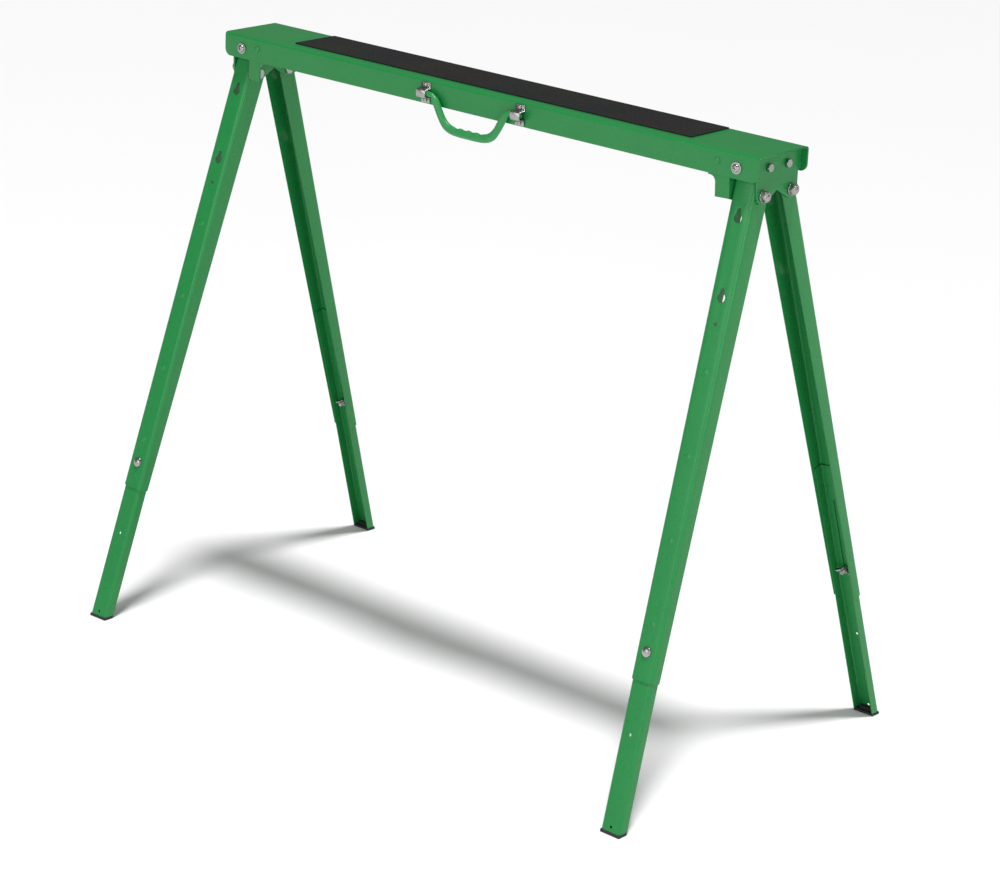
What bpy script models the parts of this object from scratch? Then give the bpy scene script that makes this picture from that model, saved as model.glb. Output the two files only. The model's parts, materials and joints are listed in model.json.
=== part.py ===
"""A folding steel sawhorse with four telescopic legs, a carrying handle and an anti-slip top.

Metres, +Z up. The origin is on the floor, under the middle of the beam. The beam runs along X,
and the handle is on its front, the -Y side. Each end assembly is drawn in its own leaning frame,
whose origin is in the middle of its two legs at the height of the beam's lower edge, with +X
pointing outwards. Each leg is drawn in a frame on its hinge axis, with +Z up the leg and +Y out
through its web.
"""
import math

import bmesh
import bpy
from mathutils import Vector

# Overall sizes
BEAM_LENGTH = 0.914
BEAM_WIDTH = 0.098
BEAM_DEPTH = 0.032
BEAM_TOP_HEIGHT = 0.805
LEG_SPREAD = math.radians(17.0)
LEG_SPLAY = math.radians(2.75)

# Beam and pad
BEAM_WALL = 0.002
BEAM_BEND = 0.004
WALL_CORNER = 0.010
CORNER_CLEAR = 0.0001
PAD_THICKNESS = 0.0015
PAD_END_INSET = 0.117
PAD_FRONT_MARGIN = 0.0175
PAD_BACK_MARGIN = 0.0055

# End brackets, in the end frame
GAP = 0.0003
PLATE = 0.0025
LEG_END_INSET = 0.0272
LEG_SIDE_PLAY = 0.0005
BRACKET_HEADROOM = 0.0033
PLATE_ARCH = 0.0160
PLATE_WAIST = 0.0410
LOBE_RADIUS = 0.0115
TAB_DROP = 0.026
TAB_LENGTH = 0.019
TAB_FILLET = 0.008
TAB_FLARE = 0.011
WING_RISE = 0.0025
HINGE_INSET = 0.0188
HINGE_DROP = 0.0198
STOP_RADIUS = 0.0338
SIDE_BOLT_INSET = 0.0328
SIDE_BOLT_RISE = 0.0137
RIVET_INSET = 0.0623
RIVET_RISE = 0.0174

# Legs, along the leg frame
LEG_WIDTH = 0.033
LEG_WALL = 0.0012
LEG_BEND = 0.0050
HINGE_TO_WEB = 0.0140
FLANGE_AT_HINGE = 0.0280
FLANGE_AT_END = 0.0162
EAR_RISE = 0.0090
WEB_RISE = 0.0195
NEST_GAP = 0.0003
LOWER_FLANGE = 0.0143
LOWER_SHOW = 0.1925
LOWER_OVERLAP = 0.1934
KEYHOLE_DROPS = (0.0317, 0.1287)
KEYHOLE_RADIUS = 0.0060
KEYHOLE_SLOT = 0.0031
KEYHOLE_RISE = 0.0126
SMALL_HOLE_DROP = 0.1610
SMALL_HOLE_RADIUS = 0.0026
LOCK_RISE = 0.0362
LOCK_PITCH = 0.103
LOCK_HOLE_RADIUS = 0.0035
SPARE_HOLE_RADIUS = 0.0020
FOOT_HOLE_RISE = 0.0105
FOOT_HOLE_RADIUS = 0.0020
FOOT_THICKNESS = 0.0036
FOOT_LIP = 0.0003
FOOT_PLUG = 0.0060
FOOT_PLUG_DEPTH = 0.0065

# Fasteners
M8 = 0.0040
M8_NUT = 0.0075
M8_HEAD = 0.0026
M8_NUT_HEIGHT = 0.0065
M8_WASHER = 0.0080
M6 = 0.0030
M6_NUT = 0.0056
M6_HEAD = 0.0040
M6_NUT_HEIGHT = 0.0048
WASHER = 0.0015
BOLT_TIP = 0.0012
SHAFT_PLAY = 0.0004
CARRIAGE_HEAD = 0.0066
CARRIAGE_RISE = 0.0034
RIVET = 0.0025
RIVET_HEAD = 0.0042
RIVET_RISE_OUT = 0.0016
WING_HUB = 0.0058
WING_SPAN = 0.0118
WING_HEIGHT = 0.0095
ROUND = 24
COARSE = 16

# Handle and its saddles
SADDLE_SPACING = 0.162
SADDLE_WIDTH = 0.015
SADDLE_HALF_HEIGHT = 0.0135
SADDLE_PLATE = 0.0015
SADDLE_SCREW = 0.0102
SCREW = 0.0020
SCREW_HEAD = 0.0031
SCREW_HEAD_HEIGHT = 0.0020
HANDLE_RISE = 0.0148
HANDLE_STANDOFF = 0.0062
HANDLE_PIN = 0.0036
HANDLE_ARM = 0.0054
HANDLE_GRIP = 0.0061
HANDLE_DROP = 0.0410
HANDLE_SPAN = 0.1280
FINGER_BUMP = 0.0017
FINGER_PITCH = 0.0135
PIN_INSET = 0.0010

# Pressed details
PIP_FIRST = 0.2194
PIP_END_CLEAR = 0.0693
PIP_COUNT = 4
PIP_RADIUS = 0.0048
PIP_HEIGHT = 0.0011
DOT_INSET = 0.101
DOT_YS = (-0.027, 0.0045)
DOT_RADIUS = 0.0040
DOT_HEIGHT = 0.0008

# Sizes that follow from the ones above
BEAM_BOTTOM = BEAM_TOP_HEIGHT - BEAM_DEPTH
HALF_BEAM = BEAM_LENGTH / 2
WALL_INSIDE = BEAM_WIDTH / 2 - BEAM_WALL
BRACKET_OUT = WALL_INSIDE - GAP
END_X = HALF_BEAM - LEG_END_INSET
HINGE_Y = WALL_INSIDE - HINGE_INSET
BRACKET_TOP = BEAM_DEPTH - BEAM_WALL - BRACKET_HEADROOM
PLATE_IN = LEG_WIDTH / 2 + LEG_SIDE_PLAY
PLATE_OUT = PLATE_IN + PLATE
STOP_Y = HINGE_Y - STOP_RADIUS * math.sin(LEG_SPREAD)
STOP_Z = STOP_RADIUS * math.cos(LEG_SPREAD) - HINGE_DROP
HINGE_HEIGHT = BEAM_BOTTOM - HINGE_DROP * math.cos(LEG_SPLAY)
LEG_REACH = HINGE_HEIGHT / math.cos(LEG_SPLAY) / math.cos(LEG_SPREAD)
WEB_REACH = LEG_REACH + HINGE_TO_WEB * math.tan(LEG_SPREAD)
UPPER_END = -(WEB_REACH - LOWER_SHOW)
LOCK_Z = UPPER_END + LOCK_RISE
LOWER_TOP = UPPER_END + LOWER_OVERLAP
LOWER_WIDTH = LEG_WIDTH - 2 * LEG_WALL - 2 * NEST_GAP
LOWER_WEB = HINGE_TO_WEB - LEG_WALL - NEST_GAP
EAR_TOP = STOP_RADIUS + EAR_RISE
HANDLE_Y = -BEAM_WIDTH / 2 - HANDLE_STANDOFF
HANDLE_Z = BEAM_BOTTOM + HANDLE_RISE

COLOURS = {
    "green_paint": ((0.045, 0.235, 0.075, 1.0), 0.42, 0.0),
    "black_grip": ((0.020, 0.020, 0.021, 1.0), 0.90, 0.0),
    "zinc": ((0.620, 0.620, 0.600, 1.0), 0.35, 1.0),
    "rubber": ((0.012, 0.012, 0.013, 1.0), 0.75, 0.0),
    "green_plastic": ((0.050, 0.260, 0.085, 1.0), 0.38, 0.0),
}


def clear_scene():
    """Start with nothing in the file."""
    for thing in list(bpy.data.objects):
        bpy.data.objects.remove(thing, do_unlink=True)


def make_material(name):
    """A Principled material with one colour, roughness and metallic value."""
    colour, roughness, metallic = COLOURS[name]
    material = bpy.data.materials.new(name)
    material.use_nodes = True
    shader = material.node_tree.nodes["Principled BSDF"]
    shader.inputs["Base Color"].default_value = colour
    shader.inputs["Roughness"].default_value = roughness
    shader.inputs["Metallic"].default_value = metallic
    return material


def mesh_of(name, bm):
    """Close a bmesh into mesh data with its faces pointing out."""
    bmesh.ops.remove_doubles(bm, verts=bm.verts, dist=1e-6)
    bmesh.ops.recalc_face_normals(bm, faces=bm.faces)
    mesh = bpy.data.meshes.new(name)
    bm.to_mesh(mesh)
    bm.free()
    mesh.shade_smooth()
    mesh.set_sharp_from_angle(angle=math.radians(35))
    return mesh


def place(name, mesh, material=None, parent=None, at=(0, 0, 0), turn=(0, 0, 0)):
    """Put mesh data in the scene as a named object."""
    thing = bpy.data.objects.new(name, mesh)
    bpy.context.collection.objects.link(thing)
    thing.parent = parent
    thing.location = at
    thing.rotation_euler = turn
    if material and not mesh.materials:
        mesh.materials.append(material)
    return thing


def frame(name, parent=None, at=(0, 0, 0), turn=(0, 0, 0)):
    """An empty that carries an assembly."""
    empty = place(name, None, parent=parent, at=at, turn=turn)
    empty.empty_display_size = 0.03
    return empty


def hide_cutter(cutter):
    """Keep a cutter out of the model itself."""
    cutter.hide_render = True
    cutter.display_type = "WIRE"
    return cutter


def combine(thing, tool, operation="DIFFERENCE"):
    """Cut or join one solid with another by an exact Boolean."""
    modifier = thing.modifiers.new(operation.title(), "BOOLEAN")
    modifier.operation = operation
    modifier.solver = "EXACT"
    modifier.object = tool
    hide_cutter(tool)


def add_prism(bm, outline, low, high, axis):
    """Extrude a closed outline between two stations on an axis.

    The outline's points are (y, z) along X, (x, z) along Y and (x, y) along Z.
    """
    order = {"X": (2, 0, 1), "Y": (0, 2, 1), "Z": (0, 1, 2)}[axis]
    loops = []
    for station in (low, high):
        points = [(a, b, station) for a, b in outline]
        loops.append([bm.verts.new([p[i] for i in order]) for p in points])
    count = len(outline)
    bm.faces.new(loops[0])
    bm.faces.new(loops[1])
    for i in range(count):
        j = (i + 1) % count
        bm.faces.new((loops[0][i], loops[0][j], loops[1][j], loops[1][i]))


def prism(name, outline, low, high, axis):
    """Mesh data of one extruded outline."""
    bm = bmesh.new()
    add_prism(bm, outline, low, high, axis)
    return mesh_of(name, bm)


def circle(radius, sides, centre=(0.0, 0.0), start=0.0):
    """Points round a circle or a regular polygon."""
    steps = [start + math.tau * i / sides for i in range(sides)]
    return [(centre[0] + radius * math.cos(a), centre[1] + radius * math.sin(a)) for a in steps]


def arc(centre, radius, start, end, steps):
    """Points along an arc, both ends included, with angles in degrees."""
    points = []
    for i in range(steps + 1):
        angle = math.radians(start + (end - start) * i / steps)
        points.append((centre[0] + radius * math.cos(angle), centre[1] + radius * math.sin(angle)))
    return points


def rectangle(low_a, high_a, low_b, high_b):
    """The four corners of a rectangle."""
    return [(low_a, low_b), (high_a, low_b), (high_a, high_b), (low_a, high_b)]


def box(name, x, y, z):
    """Mesh data of a block between two stations on each axis."""
    return prism(name, rectangle(*x, *y), *z, "Z")


def drill(thing, radius, centre, low, high, axis, sides=COARSE, name="drill"):
    """Bore a round hole through a solid, in the solid's own frame."""
    data = prism(name, circle(radius, sides, centre), low, high, axis)
    cutter = place(f"{thing.name}_{name}", data, parent=thing.parent)
    cutter.location = thing.location
    cutter.rotation_euler = thing.rotation_euler
    combine(thing, cutter)


def turned(name, profile, sides=ROUND):
    """A solid of revolution about X from (station, radius) points, closed at both ends."""
    bm = bmesh.new()
    rings = []
    for station, radius in profile:
        ring = [bm.verts.new((station, y, z)) for y, z in circle(radius, sides)]
        rings.append(ring)
    bm.faces.new(rings[0])
    bm.faces.new(rings[-1])
    for near, far in zip(rings, rings[1:]):
        for i in range(sides):
            j = (i + 1) % sides
            bm.faces.new((near[i], near[j], far[j], far[i]))
    return mesh_of(name, bm)


def channel_outline(width, depth, wall, bend, web):
    """A U section in (x, y) with its web's outer face at y = web and round outer bends."""
    half = width / 2
    inside = max(bend - wall, 0.0002)
    free = web - depth
    outer = arc((half - bend, web - bend), bend, 0, 90, 3)
    outer += arc((bend - half, web - bend), bend, 90, 180, 3)
    inner = arc((wall + inside - half, web - wall - inside), inside, 180, 90, 2)
    inner += arc((half - wall - inside, web - wall - inside), inside, 90, 0, 2)
    return [(half, free)] + outer + [(-half, free), (wall - half, free)] + inner + [(half - wall, free)]


def lofted_channel(name, stations):
    """A channel through several U sections of equal point count, each given with its height."""
    bm = bmesh.new()
    loops = [[bm.verts.new((x, y, z)) for x, y in outline] for outline, z in stations]
    bm.faces.new(loops[0])
    bm.faces.new(loops[-1])
    count = len(loops[0])
    for low, high in zip(loops, loops[1:]):
        for i in range(count):
            j = (i + 1) % count
            bm.faces.new((low[i], low[j], high[j], high[i]))
    return mesh_of(name, bm)


def corner_outline(side):
    """What is cut off a lower corner of the beam's walls, in (x, z), to leave it round."""
    corner = (side * (HALF_BEAM - WALL_CORNER + CORNER_CLEAR), BEAM_BOTTOM + WALL_CORNER - CORNER_CLEAR)
    outside = side * (HALF_BEAM + 0.01)
    outline = [(outside, BEAM_BOTTOM - 0.01), (corner[0], BEAM_BOTTOM - 0.01)]
    outline += arc(corner, WALL_CORNER, -90, 0 if side > 0 else -180, 5)
    return outline + [(outside, corner[1])]


def beam_cutter_mesh():
    """Every cut in the beam's walls as one tool: corners, bolt, rivet and screw holes."""
    bm = bmesh.new()
    through = (-BEAM_WIDTH, BEAM_WIDTH, "Y")
    for side in (-1, 1):
        add_prism(bm, corner_outline(side), *through)
        bolt = (side * (HALF_BEAM - SIDE_BOLT_INSET), BEAM_BOTTOM + SIDE_BOLT_RISE)
        add_prism(bm, circle(M6 + SHAFT_PLAY, COARSE, bolt), *through)
        rivet = (side * (HALF_BEAM - RIVET_INSET), BEAM_BOTTOM + RIVET_RISE)
        add_prism(bm, circle(RIVET + GAP, COARSE, rivet), *through)
        for step in (-1, 1):
            screw = (side * SADDLE_SPACING / 2, HANDLE_Z + step * SADDLE_SCREW)
            add_prism(bm, circle(SCREW + GAP, 12, screw), -BEAM_WIDTH, 0, "Y")
    return mesh_of("beam_cutter", bm)


def build_beam(paint):
    """The folded inverted channel, with rounded lower corners and its bolt and rivet holes."""
    outline = channel_outline(BEAM_WIDTH, BEAM_DEPTH, BEAM_WALL, BEAM_BEND, BEAM_TOP_HEIGHT)
    beam = place("beam", prism("beam", outline, -HALF_BEAM, HALF_BEAM, "X"), paint)
    combine(beam, place("beam_cutter", beam_cutter_mesh()))
    reach = HALF_BEAM - DOT_INSET
    dots = [(side * reach, y, BEAM_TOP_HEIGHT) for side in (-1, 1) for y in DOT_YS]
    combine(beam, place("beam_dots", buttons("dots", DOT_RADIUS, DOT_HEIGHT, dots)), "UNION")
    return beam


def buttons(name, radius, height, points):
    """Low round domes that rise along Z from points, each with a root sunk in the sheet below."""
    bm = bmesh.new()
    rings = [(radius, -0.0004), (radius, 0.0), (radius * 0.72, height * 0.7), (radius * 0.3, height)]
    for at in points:
        loops = []
        for r, rise in rings:
            loop = [bm.verts.new((at[0] + x, at[1] + y, at[2] + rise)) for x, y in circle(r, 12)]
            loops.append(loop)
        bm.faces.new(loops[0])
        bm.faces.new(loops[-1])
        for near, far in zip(loops, loops[1:]):
            for i in range(12):
                j = (i + 1) % 12
                bm.faces.new((near[i], near[j], far[j], far[i]))
    return mesh_of(name, bm)


def build_pad(black):
    """The thin anti-slip pad on the beam's top."""
    half = HALF_BEAM - PAD_END_INSET
    span = (PAD_FRONT_MARGIN - BEAM_WIDTH / 2, BEAM_WIDTH / 2 - PAD_BACK_MARGIN)
    low = BEAM_TOP_HEIGHT + GAP
    data = box("anti_slip_pad", (-half, half), span, (low, low + PAD_THICKNESS))
    return place("anti_slip_pad", data, black)


def touching_angle(centre, radius, point, side):
    """The angle, in degrees, at which a straight line from a point touches a circle."""
    across, up = point[0] - centre[0], point[1] - centre[1]
    turn = math.acos(radius / math.hypot(across, up))
    return math.degrees(math.atan2(up, across) + side * turn)


def plate_outline(waist, shoulder):
    """A bracket plate in (y, z), with a round lobe about each hinge bolt and an arch between them.

    The plate is as wide as its waist below the shoulder and fills the beam's width above it.
    """
    centre = (HINGE_Y, -HINGE_DROP)
    start = touching_angle(centre, LOBE_RADIUS, (0.0, -PLATE_ARCH), 1) - 360
    end = touching_angle(centre, LOBE_RADIUS, (waist, shoulder), -1)
    right = [(0.0, -PLATE_ARCH)] + arc(centre, LOBE_RADIUS, start, end, 8) + [(waist, shoulder)]
    if waist < BRACKET_OUT:
        right.append((BRACKET_OUT, shoulder))
    right.append((BRACKET_OUT, BRACKET_TOP))
    left = [(-y, z) for y, z in reversed(right[1:])]
    return right + left


def end_to_beam(inset, rise):
    """A point given on the beam's wall, as (x, z) in the end frame."""
    x = HALF_BEAM - inset - END_X
    c, s = math.cos(LEG_SPLAY), math.sin(LEG_SPLAY)
    return (x * c + rise * s, rise * c - x * s)


def bracket_holes(bracket, low, high):
    """The hinge and stop bolt holes, which both plates of an end share."""
    for side in (-1, 1):
        hinge = (side * HINGE_Y, -HINGE_DROP)
        drill(bracket, M8 + GAP, hinge, low, high, "X", name=f"hinge_{side}")
        stop = (side * STOP_Y, STOP_Z)
        drill(bracket, M6 + GAP, stop, low, high, "X", name=f"stop_{side}")


def build_outer_bracket(name, end, paint):
    """The end plate, with a wing folded back along each beam wall."""
    outline = plate_outline(PLATE_WAIST, WING_RISE)
    data = prism(name, outline, PLATE_IN, PLATE_OUT, "X")
    bracket = place(name, data, paint, end)
    bolt = end_to_beam(SIDE_BOLT_INSET, SIDE_BOLT_RISE)
    for side in (-1, 1):
        span = sorted((side * BRACKET_OUT, side * (BRACKET_OUT - PLATE)))
        shape = rectangle(bolt[0] - 0.0095, PLATE_OUT, WING_RISE, BRACKET_TOP)
        wing = place(f"{name}_wing_{side}", prism("wing", shape, *span, "Y"), parent=end)
        combine(bracket, wing, "UNION")
    drill(bracket, M6 + SHAFT_PLAY, bolt, -BEAM_WIDTH, BEAM_WIDTH, "Y", name="side_bolt")
    bracket_holes(bracket, PLATE_IN - 0.001, PLATE_OUT + 0.001)
    return bracket


def tab_outline():
    """The inner bracket's side tab in (x, z): flared inside the beam, narrow below it."""
    inner = -PLATE_OUT - TAB_LENGTH
    top = BRACKET_TOP - 0.004
    points = [(-PLATE_IN, -TAB_DROP), (inner, -TAB_DROP)]
    points += arc((inner - TAB_FILLET, -TAB_FILLET), TAB_FILLET, 0, 90, 4)
    points += [(inner - TAB_FLARE, 0.0), (inner - TAB_FLARE, top), (-PLATE_IN, top)]
    return points


def build_inner_bracket(name, end, paint):
    """The inner plate, with a tab folded inwards along each beam wall."""
    outline = plate_outline(BRACKET_OUT, -TAB_DROP)
    data = prism(name, outline, -PLATE_OUT, -PLATE_IN, "X")
    bracket = place(name, data, paint, end)
    for side in (-1, 1):
        span = sorted((side * BRACKET_OUT, side * (BRACKET_OUT - PLATE)))
        tab = place(f"{name}_tab_{side}", prism("tab", tab_outline(), *span, "Y"), parent=end)
        combine(bracket, tab, "UNION")
    rivet = end_to_beam(RIVET_INSET, RIVET_RISE)
    drill(bracket, RIVET + GAP, rivet, -BEAM_WIDTH, BEAM_WIDTH, "Y", name="rivet")
    bracket_holes(bracket, -PLATE_OUT - 0.001, 0.001 - PLATE_IN)
    return bracket


def hex_bolt_mesh(name, shank, head_from, head_to, tip, corner):
    """A bolt along X: a hexagonal head between two stations, and a shank out to its tip."""
    bm = bmesh.new()
    hexagon = [bm.verts.new((head_from, y, z)) for y, z in circle(corner, 6)]
    rim = [bm.verts.new((head_to, y, z)) for y, z in circle(corner, 6)]
    neck = [bm.verts.new((head_to, y, z)) for y, z in circle(shank, 12)]
    end = [bm.verts.new((tip, y, z)) for y, z in circle(shank, 12)]
    bm.faces.new(hexagon)
    bm.faces.new(end)
    for i in range(6):
        j = (i + 1) % 6
        bm.faces.new((hexagon[i], hexagon[j], rim[j], rim[i]))
        bm.faces.new((rim[i], rim[j], neck[2 * j], neck[2 * i + 1], neck[2 * i]))
    for i in range(12):
        j = (i + 1) % 12
        bm.faces.new((neck[i], neck[j], end[j], end[i]))
    return mesh_of(name, bm)


def nut_mesh(name, bore, corner, height, washer):
    """A hexagonal nut on its washer, bored right through, standing on x = 0."""
    bm = bmesh.new()
    rings = [
        (0.0, circle(bore, 12)),
        (0.0, circle(washer, 12)),
        (WASHER, circle(washer, 12)),
        (WASHER, hexagon_at_twelve(corner)),
        (WASHER + height, hexagon_at_twelve(corner)),
        (WASHER + height, circle(bore, 12)),
    ]
    loops = [[bm.verts.new((x, y, z)) for y, z in ring] for x, ring in rings]
    for near, far in zip(loops, loops[1:] + loops[:1]):
        for i in range(12):
            j = (i + 1) % 12
            bm.faces.new((near[i], near[j], far[j], far[i]))
    return mesh_of(name, bm)


def hexagon_at_twelve(corner):
    """A hexagon's corners and the middles of its sides, twelve points in all."""
    flat = corner * math.cos(math.pi / 6)
    points = []
    for i in range(12):
        radius = corner if i % 2 == 0 else flat
        angle = math.tau * i / 12
        points.append((radius * math.cos(angle), radius * math.sin(angle)))
    return points


def shared_fasteners():
    """Mesh data of the fasteners that every end shares, each drawn along X."""
    inner = -PLATE_OUT - GAP
    outer = PLATE_OUT + GAP
    tip = outer + WASHER + M8_NUT_HEIGHT + BOLT_TIP
    stop_out = PLATE_OUT + GAP
    stop_tip = inner - WASHER - M6_NUT_HEIGHT - BOLT_TIP
    wall = BEAM_WIDTH / 2 + GAP
    side_in = BRACKET_OUT - PLATE - 0.005
    heads = [(wall + RIVET_RISE_OUT, RIVET_HEAD * 0.55), (wall + RIVET_RISE_OUT * 0.6, RIVET_HEAD * 0.9)]
    heads += [(wall, RIVET_HEAD), (wall, RIVET), (BRACKET_OUT - PLATE - GAP, RIVET)]
    heads += [(BRACKET_OUT - PLATE - GAP, RIVET_HEAD), (BRACKET_OUT - PLATE - 0.0015, RIVET_HEAD * 0.9)]
    dome = [(wall, M6), (wall, M8_NUT), (wall + 0.0014, M8_NUT), (wall + 0.0034, M6_NUT * 0.95)]
    dome += [(wall + 0.0045, M6_NUT * 0.55)]
    back = BRACKET_OUT - PLATE - GAP
    pin = [(side_in, M6_NUT), (back, M6_NUT), (back, M6)] + dome
    return {
        "hinge_bolt": hex_bolt_mesh("hinge_bolt", M8, inner - M8_HEAD, inner, tip, M8_NUT),
        "hinge_nut": nut_mesh("hinge_nut", M8 + GAP, M8_NUT, M8_NUT_HEIGHT, M8_WASHER),
        "stop_bolt": hex_bolt_mesh("stop_bolt", M6, stop_out + M6_HEAD, stop_out, stop_tip, M6_NUT),
        "stop_nut": nut_mesh("stop_nut", M6 + GAP, M6_NUT, M6_NUT_HEIGHT, M6_NUT * 1.05),
        "side_bolt": turned("side_bolt", pin, COARSE),
        "rivet": turned("rivet", heads, 12),
    }


def build_end(word, sign, materials, fasteners):
    """One end: both brackets, their bolts, nuts and rivets. Returns the leaning frame."""
    paint, zinc = materials["green_paint"], materials["zinc"]
    turn = (0, -LEG_SPLAY, 0 if sign > 0 else math.pi)
    end = frame(f"{word}_end", at=(sign * END_X, 0, BEAM_BOTTOM), turn=turn)
    build_outer_bracket(f"{word}_outer_bracket", end, paint)
    build_inner_bracket(f"{word}_inner_bracket", end, paint)
    outer = PLATE_OUT + 2 * GAP
    for side in (-1, 1):
        face = "front" if side * sign < 0 else "back"
        tag = f"{face}_{word}"
        hinge = (0, side * HINGE_Y, -HINGE_DROP)
        stop = (0, side * STOP_Y, STOP_Z)
        place(f"hinge_bolt_{tag}", fasteners["hinge_bolt"], zinc, end, hinge)
        place(f"hinge_nut_{tag}", fasteners["hinge_nut"], zinc, end, (outer, hinge[1], hinge[2]))
        place(f"stop_bolt_{tag}", fasteners["stop_bolt"], zinc, end, stop)
        nut_at = (-PLATE_OUT - 2 * GAP, stop[1], stop[2])
        place(f"stop_nut_{tag}", fasteners["stop_nut"], zinc, end, nut_at, (0, 0, math.pi))
    for face, out in (("front", -math.pi / 2), ("back", math.pi / 2)):
        bolt = (sign * (HALF_BEAM - SIDE_BOLT_INSET), 0, BEAM_BOTTOM + SIDE_BOLT_RISE)
        place(f"side_bolt_{face}_{word}", fasteners["side_bolt"], zinc, None, bolt, (0, 0, out))
        rivet = (sign * (HALF_BEAM - RIVET_INSET), 0, BEAM_BOTTOM + RIVET_RISE)
        place(f"rivet_{face}_{word}", fasteners["rivet"], paint, None, rivet, (0, 0, out))
    return end


def ear_cutter_mesh():
    """What is cut off above the round-topped ears, in (y, z) across the leg."""
    low = EAR_TOP - HINGE_TO_WEB
    tall, wide = EAR_TOP + 0.02, 0.04
    crown = arc((0.0, low), HINGE_TO_WEB, 0, 180, 10)
    outline = [(-wide, low), (-wide, tall), (wide, tall), (wide, low)] + crown
    return prism("ear_cutter", outline, -LEG_WIDTH, LEG_WIDTH, "X")


def notch_outline():
    """The hooked notch that the stop bolt leaves as the leg closes, in (y, z) across the leg."""
    reach = M6 + SHAFT_PLAY
    seat = (0.0, STOP_RADIUS)
    end = math.degrees(LEG_SPREAD) + 22
    outer = arc((0, 0), STOP_RADIUS + reach, 90, 90 + end, 8)
    inner = arc((0, 0), STOP_RADIUS - reach, 90 + end, 90, 8)
    cap = arc(seat, reach, -90, 90, 6)[1:-1]
    return outer + inner + cap


def keyhole_outline(drop):
    """A round hole with a narrow slot above it, in (x, z)."""
    edge = math.degrees(math.asin(KEYHOLE_SLOT / KEYHOLE_RADIUS))
    outline = arc((0.0, -drop), KEYHOLE_RADIUS, 90 + edge, 450 - edge, 14)
    top = KEYHOLE_RISE - drop
    return outline + arc((0.0, top - KEYHOLE_SLOT), KEYHOLE_SLOT, 0, 180, 6)


def upper_leg_mesh():
    """The tapered upper channel: deep flanges at the hinge, shallow ones at the lower end."""
    def section(depth):
        return channel_outline(LEG_WIDTH, depth, LEG_WALL, LEG_BEND, HINGE_TO_WEB)
    top = (section(FLANGE_AT_HINGE), EAR_TOP + 0.001)
    hinge = (section(FLANGE_AT_HINGE), -0.012)
    foot = (section(FLANGE_AT_END), UPPER_END)
    return lofted_channel("upper_leg", [foot, hinge, top])


def web_cuts(leg, outlines):
    """Cut outlines given in (x, z) through a leg's web, all with one tool."""
    bm = bmesh.new()
    for outline in outlines:
        add_prism(bm, outline, 0.002, HINGE_TO_WEB + 0.01, "Y")
    combine(leg, place(f"{leg.name}_web_cuts", mesh_of("web_cuts", bm), parent=leg.parent))


def flange_cutter_mesh():
    """The hinge hole and the hooked notches, which go through both flanges, as one tool."""
    bm = bmesh.new()
    for outline in (circle(M8 + GAP, COARSE), notch_outline()):
        add_prism(bm, outline, -LEG_WIDTH, LEG_WIDTH, "X")
    return mesh_of("flange_cutter", bm)


def build_upper_leg(tag, hinge, paint):
    """One upper leg with its ears, hooked notches, keyholes and holes."""
    leg = place(f"upper_leg_{tag}", upper_leg_mesh(), paint, hinge)
    inside = LEG_WIDTH / 2 - LEG_WALL - 0.0001
    outlines = [rectangle(-inside, inside, WEB_RISE, EAR_TOP + 0.01)]
    outlines += [keyhole_outline(drop) for drop in KEYHOLE_DROPS]
    outlines.append(circle(SMALL_HOLE_RADIUS, 12, (0, -SMALL_HOLE_DROP)))
    outlines.append(circle(LOCK_HOLE_RADIUS, COARSE, (0, LOCK_Z)))
    web_cuts(leg, outlines)
    combine(leg, place(f"{leg.name}_ears", ear_cutter_mesh(), parent=hinge))
    combine(leg, place(f"{leg.name}_flanges", flange_cutter_mesh(), parent=hinge))
    step = (-UPPER_END - PIP_END_CLEAR - PIP_FIRST) / (PIP_COUNT - 1)
    points = [(0, PIP_FIRST + step * i, HINGE_TO_WEB) for i in range(PIP_COUNT)]
    pips = buttons("pips", PIP_RADIUS, PIP_HEIGHT, points)
    raised = place(f"{leg.name}_pips", pips, parent=hinge, turn=(-math.pi / 2, 0, 0))
    combine(leg, raised, "UNION")
    return leg


def slot_outline(low, high, radius):
    """An upright slot with round ends, in (x, z)."""
    return arc((0, high), radius, 0, 180, 6) + arc((0, low), radius, 180, 360, 6)


def build_lower_leg(tag, slide, paint, floor_cut):
    """One lower leg, which nests in the upper one and is cut level above its rubber foot."""
    outline = channel_outline(LOWER_WIDTH, LOWER_FLANGE, LEG_WALL, LEG_BEND - LEG_WALL, LOWER_WEB)
    low = -WEB_REACH - 0.03
    data = lofted_channel("lower_leg", [(outline, low), (outline, LOWER_TOP)])
    leg = place(f"lower_leg_{tag}", data, paint, slide)
    combine(leg, floor_cut)
    slot = slot_outline(LOCK_Z, LOCK_Z + LOCK_PITCH, LOCK_HOLE_RADIUS)
    spare = circle(SPARE_HOLE_RADIUS, 12, (0, LOCK_Z - LOCK_PITCH))
    foot_hole = circle(FOOT_HOLE_RADIUS, 12, (0, FOOT_HOLE_RISE - WEB_REACH))
    web_cuts(leg, [slot, spare, foot_hole])
    return leg


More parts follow.
